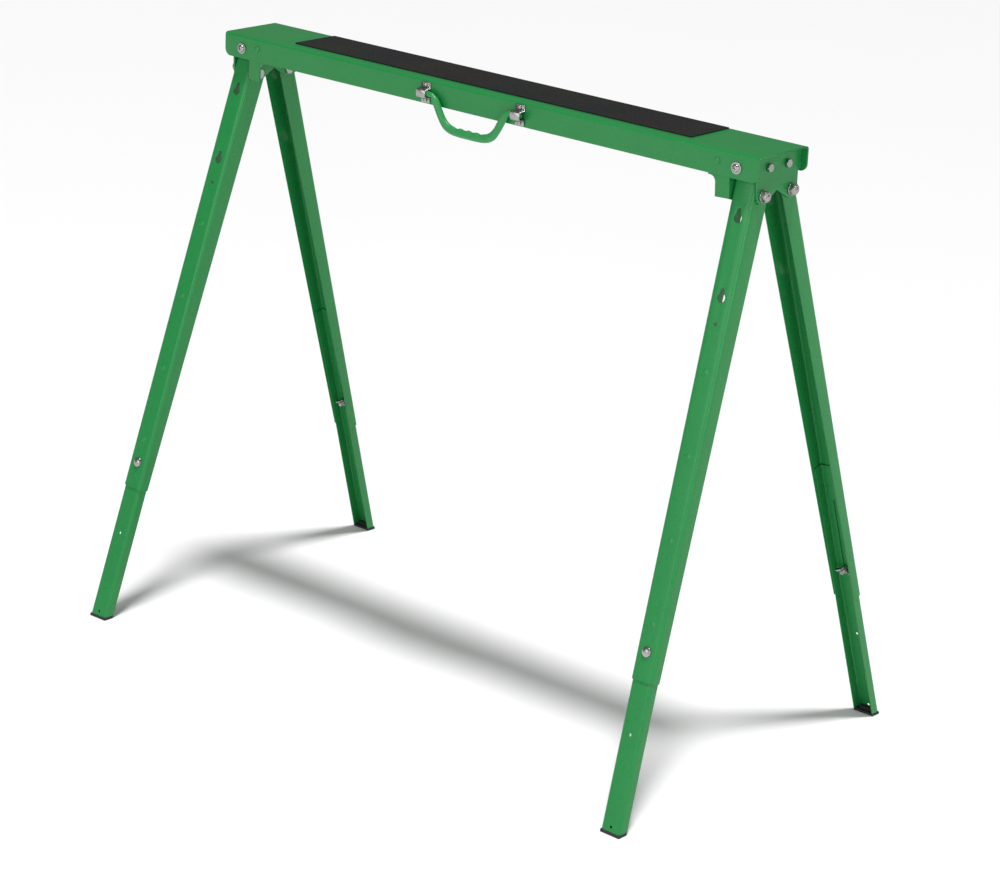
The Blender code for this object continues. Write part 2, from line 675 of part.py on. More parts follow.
def build_foot(tag, slide, rubber, pad_slab):
    """A rubber foot: a level tread under the leg and a plug against its web."""
    half = LOWER_WIDTH / 2 + FOOT_LIP
    span = (LOWER_WEB - LOWER_FLANGE - FOOT_LIP, LOWER_WEB + FOOT_LIP)
    data = box("foot", (-half, half), span, (-WEB_REACH - 0.03, 0.03 - WEB_REACH))
    foot = place(f"rubber_foot_{tag}", data, rubber, slide)
    combine(foot, pad_slab, "INTERSECT")
    inset = LOWER_WIDTH / 2 - (LEG_BEND - LEG_WALL) - GAP
    web = LOWER_WEB - LEG_WALL - GAP
    foot_top = FOOT_THICKNESS - WEB_REACH
    span = (web - FOOT_PLUG_DEPTH, web)
    data = box("plug", (-inset, inset), span, (foot_top, foot_top + FOOT_PLUG))
    plug = place(f"{foot.name}_plug", data, parent=slide)
    combine(foot, plug, "UNION")
    return foot


def carriage_bolt_mesh():
    """The lock bolt, drawn along X: a domed head outside the web and a threaded shank inside."""
    face = HINGE_TO_WEB + GAP
    head = [(face + CARRIAGE_RISE, CARRIAGE_HEAD * 0.30), (face + CARRIAGE_RISE * 0.78, CARRIAGE_HEAD * 0.70)]
    head += [(face + CARRIAGE_RISE * 0.3, CARRIAGE_HEAD), (face, CARRIAGE_HEAD), (face, M6)]
    tip = LOWER_WEB - LEG_WALL - WASHER - WING_HEIGHT - 0.0005
    return turned("lock_bolt", head + [(tip, M6)], COARSE)


def wing_nut_mesh():
    """A wing nut's threaded hub, drawn along X from its seat at x = 0."""
    bm = bmesh.new()
    bore = M6 + GAP
    rings = [(0, bore), (0, WING_HUB), (0.005, WING_HUB * 0.8), (0.005, bore)]
    loops = [[bm.verts.new((x, y, z)) for y, z in circle(r, COARSE)] for x, r in rings]
    for near, far in zip(loops, loops[1:] + loops[:1]):
        for i in range(COARSE):
            j = (i + 1) % COARSE
            bm.faces.new((near[i], near[j], far[j], far[i]))
    return mesh_of("wing_nut", bm)


def wing_outline(side):
    """One wing of the nut in (x, y), which rises as it goes out."""
    root = side * (M6 + GAP + 0.001)
    tip = side * WING_SPAN
    return [
        (0.0008, root),
        (0.0008, side * WING_HUB),
        (0.0030, tip),
        (WING_HEIGHT - 0.001, tip),
        (WING_HEIGHT, side * (WING_SPAN - 0.002)),
        (0.0042, root),
    ]


def build_lock(tag, hinge, zinc):
    """The lock bolt on the upper leg, and the wing nut that turns on it."""
    turn = (0, 0, math.pi / 2)
    place(f"lock_bolt_{tag}", carriage_bolt_mesh(), zinc, hinge, (0, 0, LOCK_Z), turn)
    seat = LOWER_WEB - LEG_WALL - GAP
    spin = frame(f"wing_nut_axis_{tag}", hinge, (0, seat, LOCK_Z), (0, 0, -math.pi / 2))
    nut = place(f"wing_nut_{tag}", wing_nut_mesh(), zinc, spin)
    for side in (-1, 1):
        data = prism("wing", wing_outline(side), -0.0011, 0.0011, "Z")
        combine(nut, place(f"{nut.name}_wing_{side}", data, parent=spin), "UNION")
    return nut


def build_legs(word, end, sign, materials, floor_cut, pad_slab):
    """The two legs of one end, each on its hinge axis."""
    paint, zinc, rubber = (materials[n] for n in ("green_paint", "zinc", "rubber"))
    for side in (-1, 1):
        tag = ("front" if side * sign < 0 else "back") + f"_{word}"
        turn = (LEG_SPREAD, 0, 0 if side > 0 else math.pi)
        hinge = frame(f"leg_axis_{tag}", end, (0, side * HINGE_Y, -HINGE_DROP), turn)
        build_upper_leg(tag, hinge, paint)
        build_lower_leg(tag, hinge, paint, floor_cut)
        build_foot(tag, hinge, rubber, pad_slab)
        build_lock(tag, hinge, zinc)


def smooth(points, steps):
    """A smooth line through points, with the given number of steps between neighbours."""
    ends = [points[0]] + points + [points[-1]]
    line = []
    for before, a, b, after in zip(ends, ends[1:], ends[2:], ends[3:]):
        for i in range(steps):
            t = i / steps
            line.append(tuple(
                0.5 * (2 * q + (r - p) * t + (2 * p - 5 * q + 4 * r - u) * t * t
                       + (3 * q - p - 3 * r + u) * t ** 3)
                for p, q, r, u in zip(before, a, b, after)
            ))
    return line + [points[-1]]


def handle_line():
    """The handle's stations from pivot to pivot: x and z of the centre line, and half width."""
    pivot = SADDLE_SPACING / 2 + SADDLE_WIDTH / 2 - PIN_INSET
    half, low = HANDLE_SPAN / 2, -HANDLE_DROP
    right = [(pivot, 0.0, HANDLE_PIN), (half + 0.005, 0.0, HANDLE_PIN)]
    right += [(half, -0.0015, HANDLE_PIN), (half - 0.006, 0.20 * low, HANDLE_ARM)]
    right += [(half - 0.011, 0.42 * low, HANDLE_ARM), (half - 0.017, 0.66 * low, HANDLE_ARM)]
    right += [(half - 0.024, 0.85 * low, HANDLE_GRIP), (half - 0.034, 0.965 * low, HANDLE_GRIP)]
    right += [(half - 0.049, low, HANDLE_GRIP)]
    return smooth([(-x, z, w) for x, z, w in right] + [(0.0, low, HANDLE_GRIP)] + right[::-1], 3)


def finger_bump(x, z):
    """How far the grip's upper edge swells at a station, for three fingers."""
    if z > -0.9 * HANDLE_DROP or abs(x) > 1.5 * FINGER_PITCH:
        return 0.0
    return FINGER_BUMP * math.cos(math.tau * x / FINGER_PITCH)


def build_handle(plastic):
    """The swinging carrying handle, one moulding with pivots, arms and a finger grip."""
    line = handle_line()
    bm = bmesh.new()
    rings = []
    for i, (x, z, half) in enumerate(line):
        before, after = line[max(i - 1, 0)], line[min(i + 1, len(line) - 1)]
        along = Vector((after[0] - before[0], 0, after[1] - before[1])).normalized()
        inward = Vector((-along.z, 0, along.x))
        depth = min(half, HANDLE_STANDOFF - 0.0014)
        ring = []
        for a, b in circle(1.0, 10, start=math.pi / 10):
            swell = finger_bump(x, z) if a > 0 else 0.0
            ring.append(bm.verts.new(Vector((x, b * depth, z)) + inward * (a * half + swell)))
        rings.append(ring)
    bm.faces.new(rings[0])
    bm.faces.new(rings[-1])
    for near, far in zip(rings, rings[1:]):
        for i in range(10):
            j = (i + 1) % 10
            bm.faces.new((near[i], near[j], far[j], far[i]))
    mesh = mesh_of("carrying_handle", bm)
    return place("carrying_handle", mesh, plastic, at=(0, HANDLE_Y, HANDLE_Z))


def saddle_outline():
    """A saddle's strap in (y, z) from the wall: two flat ends and a bulge round the pivot."""
    t = SADDLE_PLATE
    out = HANDLE_STANDOFF + HANDLE_PIN + GAP + t
    inner = HANDLE_PIN + 2 * GAP
    h = SADDLE_HALF_HEIGHT
    front = [(0, h), (-t, h), (-t, inner + t + 0.0008), (-out + 0.002, inner + t), (-out, inner)]
    back = [(0, inner + 0.0008), (-out + t + 0.002, inner), (-out + t, inner - 0.002)]
    lower_front = [(y, -z) for y, z in reversed(front)]
    lower_back = [(y, -z) for y, z in back]
    return front + lower_front + lower_back + back[::-1]


def build_saddles(zinc):
    """The two strap saddles that hold the handle's pivots, with a screw above and below each."""
    wall = -BEAM_WIDTH / 2 - GAP
    for word, side in (("left", -1), ("right", 1)):
        x = side * SADDLE_SPACING / 2
        half = SADDLE_WIDTH / 2
        data = prism("saddle", saddle_outline(), -half, half, "X")
        saddle = place(f"handle_saddle_{word}", data, zinc, at=(x, wall, HANDLE_Z))
        for step, level in ((-1, "lower"), (1, "upper")):
            z = step * SADDLE_SCREW
            cutter = prism("hole", circle(SCREW + GAP, 12, (0, z)), -0.01, 0.01, "Y")
            place_at = (x, wall, HANDLE_Z)
            combine(saddle, place(f"saddle_hole_{word}_{level}", cutter, at=place_at))
            face = SADDLE_PLATE + GAP
            shape = [(face + SCREW_HEAD_HEIGHT, SCREW_HEAD * 0.55)]
            shape += [(face + SCREW_HEAD_HEIGHT * 0.55, SCREW_HEAD * 0.92), (face, SCREW_HEAD)]
            shape += [(face, SCREW), (-BEAM_WALL - 0.003, SCREW)]
            at = (x, wall, HANDLE_Z + z)
            screw = turned("saddle_screw", shape, 12)
            place(f"saddle_screw_{word}_{level}", screw, zinc, None, at, (0, 0, -math.pi / 2))


def build_sawhorse():
    """The whole sawhorse, standing on its feet with its legs spread."""
    clear_scene()
    materials = {name: make_material(name) for name in COLOURS}
    fasteners = shared_fasteners()
    build_beam(materials["green_paint"])
    build_pad(materials["black_grip"])
    wide = BEAM_LENGTH
    level = FOOT_THICKNESS + GAP
    floor_cut = box("floor_cut", (-wide, wide), (-wide, wide), (-0.2, level))
    floor_cut = hide_cutter(place("floor_cut", floor_cut))
    pad_slab = box("tread_slab", (-wide, wide), (-wide, wide), (0, FOOT_THICKNESS))
    pad_slab = hide_cutter(place("tread_slab", pad_slab))
    for word, sign in (("left", -1), ("right", 1)):
        end = build_end(word, sign, materials, fasteners)
        build_legs(word, end, sign, materials, floor_cut, pad_slab)
    build_handle(materials["green_plastic"])
    build_saddles(materials["zinc"])


build_sawhorse()
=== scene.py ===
# %% [markdown]
# # A folding steel sawhorse
# The sawhorse is a folded steel beam on two pairs of telescopic legs. Its sheet metal is powder
# coated green, its fasteners are zinc plated, and its feet and top strip are black. This lesson
# loads the measured model, gives each surface its finish, and makes the small hardware in more
# detail than the measured model has. The whole scene is in metres with Z up, and the beam runs
# along X.

import json
import math

import bmesh
import bpy
from mathutils import Matrix, Vector


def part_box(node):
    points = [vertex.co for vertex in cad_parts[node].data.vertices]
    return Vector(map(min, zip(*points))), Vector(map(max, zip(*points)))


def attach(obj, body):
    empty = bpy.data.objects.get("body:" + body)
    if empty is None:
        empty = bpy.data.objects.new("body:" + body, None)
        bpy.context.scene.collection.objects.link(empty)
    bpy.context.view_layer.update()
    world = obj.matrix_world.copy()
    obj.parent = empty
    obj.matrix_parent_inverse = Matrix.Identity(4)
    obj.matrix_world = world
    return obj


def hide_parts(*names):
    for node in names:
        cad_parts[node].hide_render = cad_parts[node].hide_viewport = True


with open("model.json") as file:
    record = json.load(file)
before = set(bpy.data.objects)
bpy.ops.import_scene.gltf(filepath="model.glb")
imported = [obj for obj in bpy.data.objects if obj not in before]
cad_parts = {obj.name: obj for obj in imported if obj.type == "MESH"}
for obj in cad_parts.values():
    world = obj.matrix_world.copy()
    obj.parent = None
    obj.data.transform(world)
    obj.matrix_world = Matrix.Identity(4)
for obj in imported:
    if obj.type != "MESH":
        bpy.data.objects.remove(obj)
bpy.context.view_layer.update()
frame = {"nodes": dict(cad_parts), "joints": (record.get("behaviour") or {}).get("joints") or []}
TAGS = ("front_left", "front_right", "back_left", "back_right")
JOINTS = {joint["name"]: joint for joint in frame["joints"]}

# %% [markdown]
# ## Directions of each leg
# Every leg leans two ways, so nothing on it is square to the world. The joints already say how it
# lies: the fold joint runs across the leg, and the extension joint runs down it. From these two
# directions comes a small frame for each leg, with x across it, y out through its web and z up.


# %% Leg frames
def leg_matrix(tag):
    """The leg's own axes, as a rotation matrix."""
    across = -Vector(JOINTS[f"{tag}_leg_fold"]["axis"]).normalized()
    up = -Vector(JOINTS[f"{tag}_leg_extend"]["axis"]).normalized()
    out = up.cross(across).normalized()
    return Matrix((across, out, up)).transposed()


def outward(tag):
    """The direction of a hinge bolt, pointing away from the middle of the beam."""
    across = leg_matrix(tag).col[0].copy()
    return across if across.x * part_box(f"hinge_nut_{tag}")[0].x > 0 else -across


def middle(node):
    """The middle of a node's box."""
    low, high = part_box(node)
    return (low + high) / 2


def length_along(node, direction):
    """A node's length along a direction."""
    reach = [corner.co.dot(direction) for corner in frame["nodes"][node].data.vertices]
    return max(reach) - min(reach)


for tag in TAGS:
    print(tag, "bolt points along", tuple(round(c, 3) for c in outward(tag)))

# %% [markdown]
# ## Shared effects
# Paint, zinc, rubber and plastic differ in colour, but all vary a little over their surface, all
# catch light on a softly rounded edge, all carry a colour along their edges that is partly wear
# and partly painted light, and all have a fine texture. Each effect is a node group with named
# inputs, so that every material uses the same group with its own values. Rounding the edges in
# the shader keeps the sheet crisp in outline and still gives each fold its bright line.


# %% Helpers for node trees
def new_group(name, inputs, outputs):
    """A shader node group with named inputs and outputs."""
    group = bpy.data.node_groups.new(name, "ShaderNodeTree")
    for label, kind, value in inputs:
        socket = group.interface.new_socket(label, in_out="INPUT", socket_type=kind)
        if value is not None:
            socket.default_value = value
    for label, kind in outputs:
        group.interface.new_socket(label, in_out="OUTPUT", socket_type=kind)
    return group, group.nodes.new("NodeGroupInput"), group.nodes.new("NodeGroupOutput")


def node(tree, kind, **settings):
    """A node with its properties set, and its inputs where the name is an input's."""
    made = tree.nodes.new(kind)
    for key, value in settings.items():
        if hasattr(made, key):
            setattr(made, key, value)
        else:
            made.inputs[key.replace("_", " ").title()].default_value = value
    return made


def ranged(tree, value, low, high):
    """A node that stretches the values between two limits to 0 and 1."""
    made = node(tree, "ShaderNodeMapRange")
    made.inputs["From Min"].default_value = low
    made.inputs["From Max"].default_value = high
    tree.links.new(value, made.inputs["Value"])
    return made


def product(tree, first, second):
    """The product of two sockets."""
    made = node(tree, "ShaderNodeMath", operation="MULTIPLY")
    tree.links.new(first, made.inputs[0])
    tree.links.new(second, made.inputs[1])
    return made.outputs[0]


def blended(tree, share, first, second):
    """A colour mixed from two sockets by a share."""
    made = node(tree, "ShaderNodeMix", data_type="RGBA")
    tree.links.new(share, made.inputs["Factor"])
    tree.links.new(first, made.inputs[MIX_FIRST])
    tree.links.new(second, made.inputs[MIX_SECOND])
    return made.outputs[MIX_RESULT]


FLOAT, COLOUR, VECTOR = "NodeSocketFloat", "NodeSocketColor", "NodeSocketVector"
MIX_FIRST, MIX_SECOND, MIX_RESULT = 6, 7, 2  # the Mix node's sockets when it mixes colours


# %% Colour and roughness that drift over a surface
def make_variation():
    """Slow drift in colour and roughness, as from an uneven coat."""
    group, given, result = new_group(
        "uneven_coat",
        [
            ("Vector", VECTOR, None),
            ("Colour", COLOUR, (0.5, 0.5, 0.5, 1)),
            ("Second Colour", COLOUR, (0.4, 0.4, 0.4, 1)),
            ("Scale", FLOAT, 14.0),
            ("Amount", FLOAT, 0.5),
            ("Low Roughness", FLOAT, 0.3),
            ("High Roughness", FLOAT, 0.45),
        ],
        [("Colour", COLOUR), ("Roughness", FLOAT)],
    )
    links = group.links.new
    noise = node(group, "ShaderNodeTexNoise", detail=4.0, roughness=0.6)
    links(given.outputs["Vector"], noise.inputs["Vector"])
    links(given.outputs["Scale"], noise.inputs["Scale"])
    spread = ranged(group, noise.outputs["Fac"], 0.3, 0.7)
    share = product(group, spread.outputs["Result"], given.outputs["Amount"])
    mixed = blended(group, share, given.outputs["Colour"], given.outputs["Second Colour"])
    fine = node(group, "ShaderNodeTexNoise", scale=160.0, detail=3.0)
    links(given.outputs["Vector"], fine.inputs["Vector"])
    rough = ranged(group, fine.outputs["Fac"], 0.3, 0.7)
    links(given.outputs["Low Roughness"], rough.inputs["To Min"])
    links(given.outputs["High Roughness"], rough.inputs["To Max"])
    links(mixed, result.inputs["Colour"])
    links(rough.outputs["Result"], result.inputs["Roughness"])
    return group


UNEVEN_COAT = make_variation()


# %% Edges: wear and painted light
def make_edge_wear_and_painted_light():
    """A colour laid on outer and inner edges, broken up by noise: partly wear, partly painted
    light.
    """
    group, given, result = new_group(
        "edge_wear_and_painted_light",
        [
            ("Vector", VECTOR, None),
            ("Colour", COLOUR, (0.5, 0.5, 0.5, 1)),
            ("Wear And Painted Light Colour", COLOUR, (0.7, 0.7, 0.7, 1)),
            ("Radius", FLOAT, 0.0012),
            ("Amount", FLOAT, 0.6),
            ("Patch Scale", FLOAT, 90.0),
        ],
        [("Colour", COLOUR), ("Mask", FLOAT)],
    )
    links = group.links.new
    rounded = node(group, "ShaderNodeBevel", samples=6)
    links(given.outputs["Radius"], rounded.inputs["Radius"])
    flat = group.nodes.new("ShaderNodeNewGeometry")
    dot = node(group, "ShaderNodeVectorMath", operation="DOT_PRODUCT")
    links(rounded.outputs["Normal"], dot.inputs[0])
    links(flat.outputs["Normal"], dot.inputs[1])
    edge = ranged(group, dot.outputs["Value"], 0.99, 0.80)
    noise = node(group, "ShaderNodeTexNoise", detail=5.0, roughness=0.65)
    links(given.outputs["Vector"], noise.inputs["Vector"])
    links(given.outputs["Patch Scale"], noise.inputs["Scale"])
    patches = ranged(group, noise.outputs["Fac"], 0.38, 0.62)
    broken = product(group, edge.outputs["Result"], patches.outputs["Result"])
    mask = product(group, broken, given.outputs["Amount"])
    mixed = blended(group, mask, given.outputs["Colour"], given.outputs["Wear And Painted Light Colour"])
    links(mixed, result.inputs["Colour"])
    links(mask, result.inputs["Mask"])
    return group


EDGE_WEAR_AND_PAINTED_LIGHT = make_edge_wear_and_painted_light()


# %% Fine relief on a rounded edge
def make_relief():
    """A fine bumpy skin laid over edges that are rounded in the shader."""
    group, given, result = new_group(
        "fine_relief",
        [
            ("Vector", VECTOR, None),
            ("Scale", FLOAT, 900.0),
            ("Depth", FLOAT, 0.00004),
            ("Wave Scale", FLOAT, 60.0),
            ("Wave Depth", FLOAT, 0.00004),
            ("Edge Radius", FLOAT, 0.0008),
        ],
        [("Normal", VECTOR)],
    )
    links = group.links.new
    rounded = node(group, "ShaderNodeBevel", samples=6)
    links(given.outputs["Edge Radius"], rounded.inputs["Radius"])
    last = rounded
    for scale, depth, detail in (("Wave Scale", "Wave Depth", 2.0), ("Scale", "Depth", 3.0)):
        noise = node(group, "ShaderNodeTexNoise", detail=detail)
        links(given.outputs["Vector"], noise.inputs["Vector"])
        links(given.outputs[scale], noise.inputs["Scale"])
        bump = node(group, "ShaderNodeBump")
        links(given.outputs[depth], bump.inputs["Distance"])
        links(noise.outputs["Fac"], bump.inputs["Height"])
        links(last.outputs["Normal"], bump.inputs["Normal"])
        last = bump
    links(last.outputs["Normal"], result.inputs["Normal"])
    return group


FINE_RELIEF = make_relief()


# %% Hairline scratches
def make_scratches():
    """Thin marks along one direction, from boards and clamps dragged over the surface."""
    group, given, result = new_group(
        "drag_marks",
        [
            ("Vector", VECTOR, None),
            ("Stretch", VECTOR, (6.0, 700.0, 700.0)),
            ("Amount", FLOAT, 0.3),
            ("Roughness", FLOAT, 0.4),
        ],
        [("Mask", FLOAT), ("Roughness", FLOAT)],
    )
    links = group.links.new
    stretch = node(group, "ShaderNodeVectorMath", operation="MULTIPLY")
    links(given.outputs["Vector"], stretch.inputs[0])
    links(given.outputs["Stretch"], stretch.inputs[1])
    noise = node(group, "ShaderNodeTexNoise", scale=1.0, detail=2.0)
    links(stretch.outputs[0], noise.inputs["Vector"])
    line = ranged(group, noise.outputs["Fac"], 0.66, 0.74)
    mask = product(group, line.outputs["Result"], given.outputs["Amount"])
    rough = node(group, "ShaderNodeMath", operation="MULTIPLY_ADD")
    links(mask, rough.inputs[0])
    rough.inputs[1].default_value = 0.25
    links(given.outputs["Roughness"], rough.inputs[2])
    links(mask, result.inputs["Mask"])
    links(rough.outputs[0], result.inputs["Roughness"])
    return group


DRAG_MARKS = make_scratches()
print("node groups:", [group.name for group in bpy.data.node_groups])

# %% [markdown]
# ## The finishes
# The steel is powder coated: a thick, even, slightly pebbled green with a soft gloss, painted a
# lighter green along its edges, partly as wear and partly as a painted highlight. Bolts are zinc
# plated, painted darker along their edges and in their corners. The strip on top is black
# abrasive cloth, and the feet are moulded rubber. One function builds them all from a short list
# of values, so that they stay comparable, and each passes its own values to the shared groups.


# %% Build one finish
def finish(name, colour, second, worn, rough, grain, wave, edge, marks, metallic=0.0, shine=0.5):
    """A Principled material fed by the shared groups."""
    material = bpy.data.materials.new(name)
    material.use_nodes = True
    tree = material.node_tree
    shader = tree.nodes["Principled BSDF"]
    shader.inputs["Metallic"].default_value = metallic
    shader.inputs["Specular IOR Level"].default_value = shine
    place = tree.nodes.new("ShaderNodeTexCoord").outputs["Object"]
    made = {}
    for group in (UNEVEN_COAT, EDGE_WEAR_AND_PAINTED_LIGHT, FINE_RELIEF, DRAG_MARKS):
        made[group.name] = node(tree, "ShaderNodeGroup", node_tree=group)
        tree.links.new(place, made[group.name].inputs["Vector"])
    values = {
        "uneven_coat": {"Colour": colour, "Second Colour": second, "Scale": 14.0,
                        "Low Roughness": rough[0], "High Roughness": rough[1]},
        # The worn colour goes on edges, partly as wear and partly as painted light.
        "edge_wear_and_painted_light": {"Wear And Painted Light Colour": worn, "Radius": edge[0], "Amount": edge[1]},
        "fine_relief": {"Scale": grain[0], "Depth": grain[1], "Wave Scale": wave[0],
                        "Wave Depth": wave[1], "Edge Radius": edge[2]},
        "drag_marks": {"Stretch": marks[0], "Amount": marks[1]},
    }
    for group, settings in values.items():
        for label, value in settings.items():
            made[group].inputs[label].default_value = value
    links = tree.links.new
    links(made["uneven_coat"].outputs["Colour"], made["edge_wear_and_painted_light"].inputs["Colour"])
    links(made["uneven_coat"].outputs["Roughness"], made["drag_marks"].inputs["Roughness"])
    streak = node(tree, "ShaderNodeMix", data_type="RGBA")
    streak.inputs[MIX_SECOND].default_value = worn
    links(made["edge_wear_and_painted_light"].outputs["Colour"], streak.inputs[MIX_FIRST])
    links(made["drag_marks"].outputs["Mask"], streak.inputs["Factor"])
    links(streak.outputs[MIX_RESULT], shader.inputs["Base Color"])
    links(made["drag_marks"].outputs["Roughness"], shader.inputs["Roughness"])
    links(made["fine_relief"].outputs["Normal"], shader.inputs["Normal"])
    return material


# %% The sawhorse's own finishes
# Lighter worn colours on edges are partly wear, partly a painted highlight; zinc's is darker.
POWDER_GREEN = finish(
    "powder_coat_green",
    colour=(0.013, 0.222, 0.051, 1), second=(0.010, 0.194, 0.043, 1), worn=(0.055, 0.330, 0.110, 1),
    rough=(0.26, 0.36), grain=(620.0, 0.00003), wave=(170.0, 0.00008),
    edge=(0.0010, 0.45, 0.0009), marks=((5.0, 420.0, 420.0), 0.05), shine=0.36,
)
BRIGHT_ZINC = finish(
    "bright_zinc",
    colour=(0.42, 0.41, 0.40, 1), second=(0.28, 0.27, 0.27, 1), worn=(0.16, 0.15, 0.14, 1),
    rough=(0.20, 0.36), grain=(1500.0, 0.00002), wave=(240.0, 0.00003),
    edge=(0.0006, 0.35, 0.0004), marks=((60.0, 900.0, 900.0), 0.25), metallic=1.0,
)
BLACK_RUBBER = finish(
    "black_rubber",
    colour=(0.016, 0.016, 0.017, 1), second=(0.024, 0.024, 0.024, 1), worn=(0.07, 0.07, 0.07, 1),
    rough=(0.62, 0.80), grain=(1100.0, 0.00010), wave=(90.0, 0.00010),
    edge=(0.0010, 0.7, 0.0010), marks=((30.0, 500.0, 500.0), 0.15),
)
GREEN_PLASTIC = finish(
    "moulded_green_plastic",
    colour=(0.024, 0.255, 0.066, 1), second=(0.020, 0.220, 0.056, 1), worn=(0.070, 0.360, 0.125, 1),
    rough=(0.30, 0.42), grain=(2200.0, 0.00004), wave=(120.0, 0.00006),
    edge=(0.0008, 0.3, 0.0006), marks=((40.0, 600.0, 600.0), 0.10), shine=0.35,
)
print("finishes:", [m.name for m in (POWDER_GREEN, BRIGHT_ZINC, BLACK_RUBBER, GREEN_PLASTIC)])

# %% [markdown]
# ## The abrasive strip
# The strip on top is like coarse sandpaper: dark mineral grains in a black binder, a few of which
# glint. A cell texture gives each grain its own height and shade. It is only used here, so it is
# built straight into this material and not as a group.


# %% Grit finish
def make_grit():
    """Black abrasive cloth with mineral grains about 0.6 mm across."""
    material = bpy.data.materials.new("anti_slip_grit")
    material.use_nodes = True
    tree = material.node_tree
    shader = tree.nodes["Principled BSDF"]
    links = tree.links.new
    place = tree.nodes.new("ShaderNodeTexCoord").outputs["Object"]
    grains = node(tree, "ShaderNodeTexVoronoi", scale=1500.0, feature="F1")
    clumps = node(tree, "ShaderNodeTexNoise", scale=260.0, detail=5.0)
    drift = node(tree, "ShaderNodeTexNoise", scale=9.0, detail=3.0)
    for texture in (grains, clumps, drift):
        links(place, texture.inputs["Vector"])
    shade = node(tree, "ShaderNodeValToRGB")
    shade.color_ramp.elements[0].color = (0.012, 0.012, 0.012, 1)
    shade.color_ramp.elements[1].color = (0.042, 0.042, 0.040, 1)
    shader.inputs["Specular IOR Level"].default_value = 0.10
    links(grains.outputs["Color"], shade.inputs["Fac"])
    worn = node(tree, "ShaderNodeMix", data_type="RGBA", blend_type="MULTIPLY")
    worn.inputs["Factor"].default_value = 0.5
    links(shade.outputs["Color"], worn.inputs[MIX_FIRST])
    links(drift.outputs["Color"], worn.inputs[MIX_SECOND])
    glint = node(tree, "ShaderNodeMapRange")
    for label, value in (("From Min", 0.25), ("From Max", 0.7), ("To Min", 0.95), ("To Max", 0.55)):
        glint.inputs[label].default_value = value
    links(clumps.outputs["Fac"], glint.inputs["Value"])
    bump = node(tree, "ShaderNodeBump")
    bump.inputs["Distance"].default_value = 0.00035
    links(grains.outputs["Distance"], bump.inputs["Height"])
    second = node(tree, "ShaderNodeBump")
    second.inputs["Distance"].default_value = 0.0003
    links(clumps.outputs["Fac"], second.inputs["Height"])
    links(bump.outputs["Normal"], second.inputs["Normal"])
    links(worn.outputs[MIX_RESULT], shader.inputs["Base Color"])
    links(glint.outputs["Result"], shader.inputs["Roughness"])
    links(second.outputs["Normal"], shader.inputs["Normal"])
    return material


GRIT = make_grit()

# %% [markdown]
# ## Sheet metal that shades smoothly
# The folded parts keep their measured shape, but their triangles are loose and would show each
# facet of a bend. A copy has its corners merged, gets a smooth shade across bends and a hard
# break at true corners, and leans its shading on the large faces so that flat sheet stays flat.


# %% Copy a node as a clean shell
def clean_copy(name, dissolve=False):
    """A merged copy of a measured node, at the origin."""
    bm = bmesh.new()
    bm.from_mesh(frame["nodes"][name].data)
    bmesh.ops.remove_doubles(bm, verts=bm.verts, dist=2e-6)
    if dissolve:
        bmesh.ops.dissolve_limit(
            bm, angle_limit=math.radians(1), verts=bm.verts, edges=bm.edges)
    mesh = bpy.data.meshes.new(f"{name}_shell")
    bm.to_mesh(mesh)
    bm.free()
    mesh.materials.clear()
    copy = bpy.data.objects.new(f"{name}_shell", mesh)
    bpy.context.collection.objects.link(copy)
    return copy


def hand_over(piece, body, slot, *nodes):
    """Let a finished piece stand for measured nodes of one body."""
    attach(piece, body)
    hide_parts(*nodes)


def folded_sheet(name, body, material, slot, sharp=38):
    """A sheet part with smooth bends, hard corners and flat faces."""
    piece = clean_copy(name)
    piece.data.materials.append(material)
    piece.data.shade_smooth()
    piece.data.set_sharp_from_angle(angle=math.radians(sharp))
    weighted = piece.modifiers.new("Flat faces", "WEIGHTED_NORMAL")
    weighted.keep_sharp = True
    hand_over(piece, body, slot, name)


for name in ("beam", "left_outer_bracket", "right_outer_bracket",
             "left_inner_bracket", "right_inner_bracket"):
    folded_sheet(name, "beam", POWDER_GREEN, "green_paint")
for tag in TAGS:
    folded_sheet(f"upper_leg_{tag}", f"leg_{tag}", POWDER_GREEN, "green_paint")
    folded_sheet(f"lower_leg_{tag}", f"extension_{tag}", POWDER_GREEN, "green_paint")
for word in ("left", "right"):
    folded_sheet(f"handle_saddle_{word}", "beam", BRIGHT_ZINC, "zinc", 50)

# %% [markdown]
# ## Strip and feet
# Both are simple moulded or cut blocks, so real bevels are safe here: the strip's cut edge is a
# little rounded, and the rubber feet have generous moulded corners.


# %% Bevelled blocks
def rounded_block(name, body, material, slot, width):
    """A merged copy with real rounded corners."""
    piece = clean_copy(name, dissolve=True)
    piece.data.materials.append(material)
    bevel = piece.modifiers.new("Rounded corners", "BEVEL")
    bevel.width = width
    bevel.segments = 3
    bevel.limit_method = "ANGLE"
    bevel.angle_limit = math.radians(40)
    piece.data.shade_smooth()
    piece.modifiers.new("Flat faces", "WEIGHTED_NORMAL")
    hand_over(piece, body, slot, name)


rounded_block("anti_slip_pad", "beam", GRIT, "black_grip", 0.0005)
for tag in TAGS:
    rounded_block(f"rubber_foot_{tag}", f"extension_{tag}", BLACK_RUBBER, "rubber", 0.0009)

# %% [markdown]
# ## The carrying handle
# The handle is one moulding, round all the way along, with three swellings for the fingers. The
# measured model draws it with ten sides. Subdivision turns the same cage into a smooth tube
# without moving its pivots.


